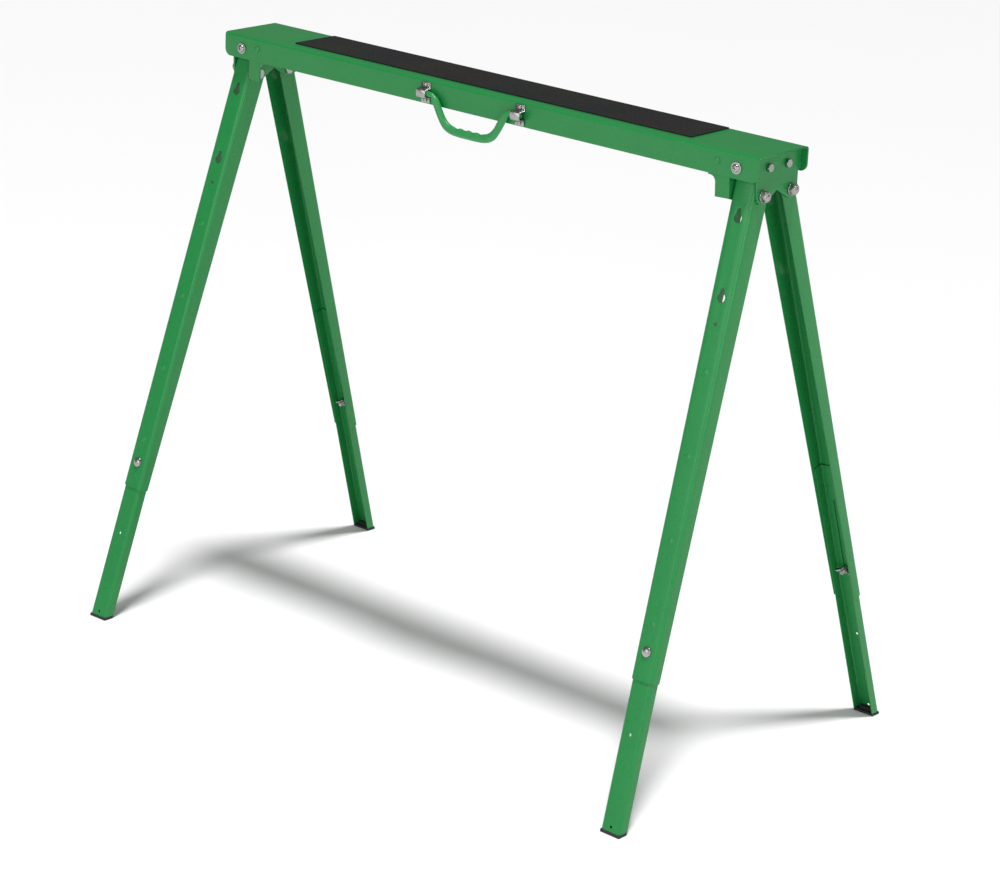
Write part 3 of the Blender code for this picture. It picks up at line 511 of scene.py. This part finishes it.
# %% Smooth the handle
handle = clean_copy("carrying_handle")
bm = bmesh.new()
bm.from_mesh(handle.data)
bmesh.ops.join_triangles(
    bm, faces=bm.faces, angle_face_threshold=math.radians(50),
    angle_shape_threshold=math.radians(80))
bm.to_mesh(handle.data)
bm.free()
handle.data.materials.append(GREEN_PLASTIC)
handle.data.shade_smooth()
rounding = handle.modifiers.new("Smooth moulding", "SUBSURF")
rounding.levels = rounding.render_levels = 2
hand_over(handle, "handle", "green_plastic", "carrying_handle")
print("handle faces before smoothing:", len(handle.data.polygons))

# %% [markdown]
# ## Fasteners
# Nuts, bolts and washers repeat at all four hinges. Each kind is modelled once along X, as a
# turned or hexagonal body with chamfers, and a Geometry Nodes tree puts a copy at each point,
# turned as the point says. The tree ends in real meshes, one for all the copies on a body.


# %% Turned and hexagonal bodies
def ring(bm, x, radii):
    """One loop of corners round X, with a radius for each corner."""
    count = len(radii)
    loop = []
    for i, radius in enumerate(radii):
        angle = math.tau * i / count
        loop.append(bm.verts.new((x, radius * math.cos(angle), radius * math.sin(angle))))
    return loop


def skin(bm, loops, close=True):
    """Faces between successive loops, and caps on the first and last."""
    for near, far in zip(loops, loops[1:]):
        for i in range(len(near)):
            j = (i + 1) % len(near)
            bm.faces.new((near[i], near[j], far[j], far[i]))
    if close:
        bm.faces.new(loops[0])
        bm.faces.new(loops[-1])


def hexagon(corner, sides=36, limit=None):
    """Radii of a hexagon sampled all round, cut off at a limiting radius."""
    radii = []
    for i in range(sides):
        angle = (math.tau * i / sides) % (math.pi / 3) - math.pi / 6
        radius = corner * math.cos(math.pi / 6) / math.cos(angle)
        radii.append(min(radius, limit) if limit else radius)
    return radii


def prototype(name, bodies):
    """A hidden object made of one or more closed bodies, each a list of (x, radii)."""
    bm = bmesh.new()
    for stations in bodies:
        skin(bm, [ring(bm, x, radii) for x, radii in stations])
    bmesh.ops.recalc_face_normals(bm, faces=bm.faces)
    mesh = bpy.data.meshes.new(name)
    bm.to_mesh(mesh)
    bm.free()
    mesh.shade_smooth()
    mesh.set_sharp_from_angle(angle=math.radians(28))
    return bpy.data.objects.new(name, mesh)


def disc(radius, sides=36):
    """The radii of a plain circle."""
    return [radius] * sides


def washer_body(low, thickness, radius):
    """A flat washer with broken edges."""
    edge = thickness * 0.2
    return [(low, disc(radius - edge)), (low + edge, disc(radius)),
            (low + thickness - edge, disc(radius)), (low + thickness, disc(radius - edge))]


def nut_body(low, height, corner, both=True):
    """A hexagon with its corners turned off at the top, and at the bottom where it shows."""
    flat = corner * math.cos(math.pi / 6)
    lip = corner * 0.09
    start = [(low, hexagon(corner, limit=flat * 1.02)), (low + lip, hexagon(corner))]
    end = [(low + height - lip, hexagon(corner)),
           (low + height, hexagon(corner, limit=flat * 1.01))]
    return (start if both else [(low, hexagon(corner))]) + end


def thread_body(low, high, radius, pitch):
    """A threaded rod as fine ridges, ending in a small chamfer."""
    stations = [(low, disc(radius * 0.9))]
    x = low
    while x + pitch < high:
        stations += [(x + pitch * 0.5, disc(radius)), (x + pitch, disc(radius * 0.86))]
        x += pitch
    return stations + [(high, disc(radius * 0.72))]


# %% The place_copies tree
def make_copier():
    """Geometry nodes that put one object on every point and turn it as the point says."""
    tree = bpy.data.node_groups.new("place_copies", "GeometryNodeTree")
    face = tree.interface
    face.new_socket("Geometry", in_out="INPUT", socket_type="NodeSocketGeometry")
    face.new_socket("Fastener", in_out="INPUT", socket_type="NodeSocketObject")
    size = face.new_socket("Size", in_out="INPUT", socket_type="NodeSocketFloat")
    size.default_value = 1.0
    face.new_socket("Finish", in_out="INPUT", socket_type="NodeSocketMaterial")
    face.new_socket("Geometry", in_out="OUTPUT", socket_type="NodeSocketGeometry")
    given = tree.nodes.new("NodeGroupInput")
    result = tree.nodes.new("NodeGroupOutput")
    links = tree.links.new
    info = tree.nodes.new("GeometryNodeObjectInfo")
    links(given.outputs["Fastener"], info.inputs["Object"])
    turn = tree.nodes.new("GeometryNodeInputNamedAttribute")
    turn.data_type = "FLOAT_VECTOR"
    turn.inputs["Name"].default_value = "turn"
    as_rotation = tree.nodes.new("FunctionNodeEulerToRotation")
    links(turn.outputs["Attribute"], as_rotation.inputs[0])
    copies = tree.nodes.new("GeometryNodeInstanceOnPoints")
    links(given.outputs["Geometry"], copies.inputs["Points"])
    links(info.outputs["Geometry"], copies.inputs["Instance"])
    links(as_rotation.outputs[0], copies.inputs["Rotation"])
    links(given.outputs["Size"], copies.inputs["Scale"])
    real = tree.nodes.new("GeometryNodeRealizeInstances")
    links(copies.outputs["Instances"], real.inputs["Geometry"])
    coat = tree.nodes.new("GeometryNodeSetMaterial")
    links(real.outputs["Geometry"], coat.inputs["Geometry"])
    links(given.outputs["Finish"], coat.inputs["Material"])
    links(coat.outputs["Geometry"], result.inputs["Geometry"])
    return tree


PLACE_COPIES = make_copier()


def along(direction, up=Vector((0, 0, 1))):
    """The turn that lays X along a direction, with Z as near up as it can be."""
    x = Vector(direction).normalized()
    y = up.cross(x).normalized()
    return Matrix((x, y, x.cross(y))).transposed()


def place_copies(name, fastener, places, material, body, slot, nodes):
    """Put copies at (point, turn) places and hand the result over as one plain mesh."""
    points = bpy.data.meshes.new(f"{name}_points")
    points.from_pydata([tuple(p) for p, _ in places], [], [])
    turn = points.attributes.new("turn", "FLOAT_VECTOR", "POINT")
    for i, (_, matrix) in enumerate(places):
        turn.data[i].vector = matrix.to_euler()
    carrier = bpy.data.objects.new(name, points)
    bpy.context.collection.objects.link(carrier)
    modifier = carrier.modifiers.new("Copies", "NODES")
    modifier.node_group = PLACE_COPIES
    sockets = {s.name: s.identifier for s in PLACE_COPIES.interface.items_tree
               if s.in_out == "INPUT"}
    modifier[sockets["Fastener"]] = fastener
    modifier[sockets["Size"]] = 1.0
    modifier[sockets["Finish"]] = material
    carrier.update_tag()
    ready = carrier.evaluated_get(bpy.context.evaluated_depsgraph_get())
    mesh = bpy.data.meshes.new_from_object(ready)
    bpy.data.objects.remove(carrier)
    piece = bpy.data.objects.new(name, mesh)
    bpy.context.collection.objects.link(piece)
    if not mesh.materials:
        mesh.materials.append(material)
    hand_over(piece, body, slot, *nodes)
    print(name, len(places), "copies,", len(mesh.polygons), "faces")


# %% [markdown]
# ### Hinge and stop bolts
# A hinge bolt has its washer and lock nut on the outside of the end plate, where they show, and
# its low head inboard. The smaller stop bolt has its head outside and its nut inboard. The
# measured nodes give the middle of each one, and every copy is drawn about its own middle.


# %% Hinge hardware
NUT_LONG, WASHER_THICK = 0.0065, 0.0015
HINGE_SHANK, HINGE_CORNER, HINGE_WASHER = 0.0040, 0.0075, 0.0080
SMALL_SHANK, SMALL_CORNER, SMALL_PITCH = 0.0030, 0.0056, 0.0010
half = (NUT_LONG + WASHER_THICK) / 2
lock_nut = prototype("lock_nut", [
    washer_body(-half, WASHER_THICK, HINGE_WASHER),
    nut_body(WASHER_THICK - half, NUT_LONG * 0.78, HINGE_CORNER),
    [(half - NUT_LONG * 0.24, disc(0.0058)), (half - 0.0006, disc(0.0056)), (half, disc(0.0050))],
])
nut_places = [(middle(f"hinge_nut_{tag}"), along(outward(tag))) for tag in TAGS]
place_copies("hinge_lock_nuts", lock_nut, nut_places, BRIGHT_ZINC, "beam", "zinc",
             [f"hinge_nut_{tag}" for tag in TAGS])

half = length_along("hinge_bolt_front_right", outward("front_right")) / 2
hinge_bolt = prototype("hinge_bolt", [
    nut_body(-half, 0.0026, HINGE_CORNER),
    thread_body(-half + 0.0025, half, HINGE_SHANK, 0.00125),
])
bolt_places = [(middle(f"hinge_bolt_{tag}"), along(outward(tag))) for tag in TAGS]
place_copies("hinge_bolts", hinge_bolt, bolt_places, BRIGHT_ZINC, "beam", "zinc",
             [f"hinge_bolt_{tag}" for tag in TAGS])

# %% Stop hardware
half = length_along("stop_bolt_front_right", outward("front_right")) / 2
stop_bolt = prototype("stop_bolt", [
    nut_body(half - 0.0040, 0.0040, SMALL_CORNER),
    thread_body(-half, half - 0.0039, SMALL_SHANK, SMALL_PITCH),
])
stop_places = [(middle(f"stop_bolt_{tag}"), along(outward(tag))) for tag in TAGS]
place_copies("stop_bolts", stop_bolt, stop_places, BRIGHT_ZINC, "beam", "zinc",
             [f"stop_bolt_{tag}" for tag in TAGS])
STOP_NUT_LONG = 0.0048
half = (STOP_NUT_LONG + WASHER_THICK) / 2
stop_nut = prototype("stop_nut", [
    washer_body(-half, WASHER_THICK, 0.0058),
    nut_body(WASHER_THICK - half, STOP_NUT_LONG, SMALL_CORNER),
])
stop_nut_places = [(middle(f"stop_nut_{tag}"), along(-outward(tag))) for tag in TAGS]
place_copies("stop_nuts", stop_nut, stop_nut_places, BRIGHT_ZINC, "beam", "zinc",
             [f"stop_nut_{tag}" for tag in TAGS])

# %% [markdown]
# ### Side bolts, rivets and saddle screws
# These go through the beam's side walls, so they point along Y. The side bolts have a low domed
# head on a washer, with a round recess in its top. The rivets went on before the paint, so they
# are green. The saddle screws are small pan heads with a round recess.


# %% Wall fasteners
def lathe(low, stations, sides=28):
    """A turned body from (distance from its seat, radius) pairs."""
    return [(low + x, disc(r, sides)) for x, r in stations]


def wall_places(names):
    """Each fastener's middle, turned to point out of its own side of the beam."""
    places = []
    for name in names:
        at = middle(name)
        places.append((at, along((0, math.copysign(1, at.y), 0))))
    return places


def depth_of(name):
    """A node's depth through the beam's wall."""
    low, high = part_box(name)
    return high.y - low.y


side_names = [f"side_bolt_{tag}" for tag in TAGS]
long = depth_of(side_names[0])
seat = long / 2 - 0.0045
side_bolt = prototype("side_bolt", [
    washer_body(seat, 0.0014, 0.0075),
    lathe(seat, [(0.0012, 0.0052), (0.0020, 0.0052), (0.0032, 0.0046), (0.0041, 0.0034),
                 (0.0045, 0.0026), (0.0045, 0.0018), (0.0030, 0.0016)]),
    thread_body(-long / 2, seat + 0.0002, SMALL_SHANK, SMALL_PITCH),
    nut_body(-long / 2, 0.0046, 0.0055),
])
place_copies("side_bolts", side_bolt, wall_places(side_names), BRIGHT_ZINC, "beam", "zinc",
             side_names)

rivet_names = [f"rivet_{tag}" for tag in TAGS]
long = depth_of(rivet_names[0])
seat = long / 2 - 0.0016
rivet = prototype("rivet", [
    lathe(seat, [(0, 0.0042), (0.0005, 0.0041), (0.0011, 0.0034), (0.0015, 0.0022),
                 (0.0016, 0.0009)], 24),
    lathe(0, [(-long / 2, 0.0036), (-long / 2 + 0.0011, 0.0041), (-long / 2 + 0.0012, 0.0024),
              (seat + 0.0001, 0.0024)], 24),
])
place_copies("rivets", rivet, wall_places(rivet_names), POWDER_GREEN, "beam", "green_paint",
             rivet_names)

screw_names = [f"saddle_screw_{word}_{level}"
               for word in ("left", "right") for level in ("lower", "upper")]
long = depth_of(screw_names[0])
seat = long / 2 - 0.0020
screw = prototype("saddle_screw", [
    lathe(seat, [(0, 0.0030), (0.0004, 0.0031), (0.0012, 0.0028), (0.0018, 0.0020),
                 (0.0020, 0.0013), (0.0020, 0.0009), (0.0012, 0.0007)], 24),
    thread_body(-long / 2, seat + 0.0002, 0.0020, 0.0007),
])
place_copies("saddle_screws", screw, wall_places(screw_names), BRIGHT_ZINC, "beam", "zinc",
             screw_names)

# %% [markdown]
# ### Lock bolts and wing nuts
# Each leg is locked by a domed carriage bolt whose shank points into the channel, and a wing nut
# inside it. The bolt belongs to the upper leg, and the wing nut turns on its own.


# %% Leg locks
def wing_body(side):
    """One wing of a wing nut: a rounded ear that leans outwards as it rises."""
    outline = [(0.0010, 0.0040), (0.0016, 0.0070), (0.0032, 0.0100), (0.0056, 0.0117),
               (0.0080, 0.0117), (0.0094, 0.0104), (0.0090, 0.0084), (0.0064, 0.0066),
               (0.0046, 0.0036)]
    return [(x, side * y) for x, y in outline]


def wing_nut():
    """A wing nut seated at x = 0: a coned hub with two ears."""
    bm = bmesh.new()
    hub = [(0.0, 0.0055), (0.0004, 0.0058), (0.0040, 0.0049), (0.0050, 0.0044), (0.0050, 0.0034)]
    skin(bm, [ring(bm, x, disc(r, 28)) for x, r in hub])
    for side in (-1, 1):
        loops = []
        for z in (-0.0012, -0.0008, 0.0008, 0.0012):
            inset = 0.86 if abs(z) > 0.001 else 1.0
            centre = Vector((0.0055, side * 0.0082))
            loop = []
            for x, y in wing_body(side):
                point = centre + (Vector((x, y)) - centre) * inset
                loop.append(bm.verts.new((point.x, point.y, z)))
            loops.append(loop)
        skin(bm, loops)
    bmesh.ops.recalc_face_normals(bm, faces=bm.faces)
    mesh = bpy.data.meshes.new("wing_nut")
    bm.to_mesh(mesh)
    bm.free()
    mesh.shade_smooth()
    mesh.set_sharp_from_angle(angle=math.radians(50))
    return bpy.data.objects.new("wing_nut", mesh)


WING_NUT = wing_nut()
for tag in TAGS:
    joint = JOINTS[f"{tag}_wing_nut_turn"]
    turn = along(joint["axis"], leg_matrix(tag).col[2])
    place_copies(f"wing_nut_{tag}_detail", WING_NUT, [(Vector(joint["pos_m"]), turn)],
                 BRIGHT_ZINC, f"nut_{tag}", "zinc", [f"wing_nut_{tag}"])

# %% Domed lock bolts
DOME_RISE = 0.0034
for tag in TAGS:
    axes = leg_matrix(tag)
    corners = [v.co @ axes for v in frame["nodes"][f"lock_bolt_{tag}"].data.vertices]
    low = [min(corner[i] for corner in corners) for i in range(3)]
    high = [max(corner[i] for corner in corners) for i in range(3)]
    at = axes @ Vector([(a + b) / 2 for a, b in zip(low, high)])
    wide, long = (high[0] - low[0]) / 2, high[1] - low[1]
    seat = long / 2 - DOME_RISE
    dome = [(0, 0.96), (0.0004, 1.0), (0.0012, 0.97), (0.0022, 0.79),
            (0.0030, 0.50), (DOME_RISE, 0.2)]
    bolt = prototype(f"carriage_bolt_{tag}", [
        lathe(seat, [(x, wide * r) for x, r in dome], 36),
        thread_body(-long / 2, seat + 0.0002, SMALL_SHANK, SMALL_PITCH),
    ])
    place_copies(f"lock_bolt_{tag}_detail", bolt, [(at, along(axes.col[1], axes.col[2]))],
                 BRIGHT_ZINC, f"leg_{tag}", "zinc", [f"lock_bolt_{tag}"])

# %% [markdown]
# ## Floor, light and camera
# The sawhorse stands on a plain pale floor. A broad light overhead draws a soft shadow under the
# beam, and two large panels on the camera's side keep the painted walls bright. A small bright
# panel behind the camera draws a light line down each rounded bend.


# %% Floor
FLOOR_REACH = 30  # metres from the middle to each edge
FLOOR_DROP = 0.0003  # a hair below the feet, so that the two never share a plane


def make_floor():
    """A pale matt floor, far larger than the view."""
    material = bpy.data.materials.new("pale_floor")
    material.use_nodes = True
    tree = material.node_tree
    shader = tree.nodes["Principled BSDF"]
    shader.inputs["Specular IOR Level"].default_value = 0.15
    place = tree.nodes.new("ShaderNodeTexCoord").outputs["Object"]
    noise = node(tree, "ShaderNodeTexNoise", scale=3.0, detail=3.0)
    tree.links.new(place, noise.inputs["Vector"])
    spread = node(tree, "ShaderNodeMapRange")
    spread.inputs["To Min"].default_value = 0.7
    spread.inputs["To Max"].default_value = 0.8
    tree.links.new(noise.outputs["Fac"], spread.inputs["Value"])
    tree.links.new(spread.outputs["Result"], shader.inputs["Roughness"])
    shader.inputs["Base Color"].default_value = (0.90, 0.90, 0.90, 1)
    mesh = bpy.data.meshes.new("floor")
    corners = [(x * FLOOR_REACH, y * FLOOR_REACH, 0)
               for x, y in ((-1, -1), (1, -1), (1, 1), (-1, 1))]
    mesh.from_pydata(corners, [], [(0, 1, 2, 3)])
    mesh.materials.append(material)
    floor = bpy.data.objects.new("floor", mesh)
    bpy.context.collection.objects.link(floor)
    floor.location.z = -FLOOR_DROP
    return floor


print("floor:", make_floor().name)


# %% Lights
def panel(name, at, aim, size, power):
    """A square light panel that looks at a point."""
    light = bpy.data.lights.new(name, "AREA")
    light.shape = "RECTANGLE"
    light.size, light.size_y = size
    light.energy = power
    made = bpy.data.objects.new(name, light)
    bpy.context.collection.objects.link(made)
    made.location = at
    made.rotation_euler = (Vector(aim) - Vector(at)).to_track_quat("-Z", "Y").to_euler()


def overhead_sun(strength, width, lean_x, lean_y):
    """A soft distant light from nearly straight above, with its width and lean in degrees."""
    light = bpy.data.lights.new("overhead", "SUN")
    light.energy = strength
    light.angle = math.radians(width)
    made = bpy.data.objects.new("overhead", light)
    bpy.context.collection.objects.link(made)
    made.rotation_euler = (math.radians(lean_x), math.radians(lean_y), 0)


LEG_HEIGHT = (0, 0, 0.5)  # the point that every panel looks at
overhead_sun(strength=2.75, width=8.0, lean_x=2.0, lean_y=8.0)
panel("front_panel", at=(-0.6, -4.2, 1.9), aim=LEG_HEIGHT, size=(3.2, 2.4), power=55)
panel("right_panel", at=(4.4, -1.4, 2.0), aim=LEG_HEIGHT, size=(2.4, 2.2), power=50)
panel("ridge_light", at=(3.7, -4.1, 2.3), aim=LEG_HEIGHT, size=(0.8, 1.3), power=32)
world = bpy.data.worlds.new("studio")
world.use_nodes = True
world.node_tree.nodes["Background"].inputs["Color"].default_value = (1, 1, 1, 1)
world.node_tree.nodes["Background"].inputs["Strength"].default_value = 0.18
bpy.context.scene.world = world
bpy.context.scene.view_settings.view_transform = "Standard"

# %% [markdown]
# ## Camera
# The camera stands a little above the beam, out to the right, with a long lens. It is held with a
# slight tilt, and its direction is worked out from an angle round the object, a height angle and
# that tilt.


# %% Camera
def aim_camera(at, azimuth, elevation, tilt, lens, shift):
    """Point a camera by its angles, in degrees."""
    az, el, roll = (math.radians(a) for a in (azimuth, elevation, tilt))
    back = Vector((math.sin(az) * math.cos(el), -math.cos(az) * math.cos(el), math.sin(el)))
    right = (-back).cross(Vector((0, 0, 1))).normalized()
    up = right.cross(-back)
    turned_right = right * math.cos(roll) + up * math.sin(roll)
    turned_up = up * math.cos(roll) - right * math.sin(roll)
    data = bpy.data.cameras.new("camera")
    data.lens = lens
    data.sensor_width = 36
    data.shift_x, data.shift_y = shift
    camera = bpy.data.objects.new("camera", data)
    bpy.context.collection.objects.link(camera)
    turn = Matrix((turned_right, turned_up, back)).transposed().to_4x4()
    camera.matrix_world = Matrix.Translation(at) @ turn
    bpy.context.scene.camera = camera
    print("camera at", at, "with a lens of", lens, "mm")


aim_camera(at=(2.5756, -2.9318, 1.6671), azimuth=41.04, elevation=18.92, tilt=2.49,
           lens=111.4, shift=(0.0024, 0.0007))

# %% [markdown]
# ## Finish
# The visible model must stay inside the measured one.

# %% Update the view layer
bpy.context.view_layer.update()
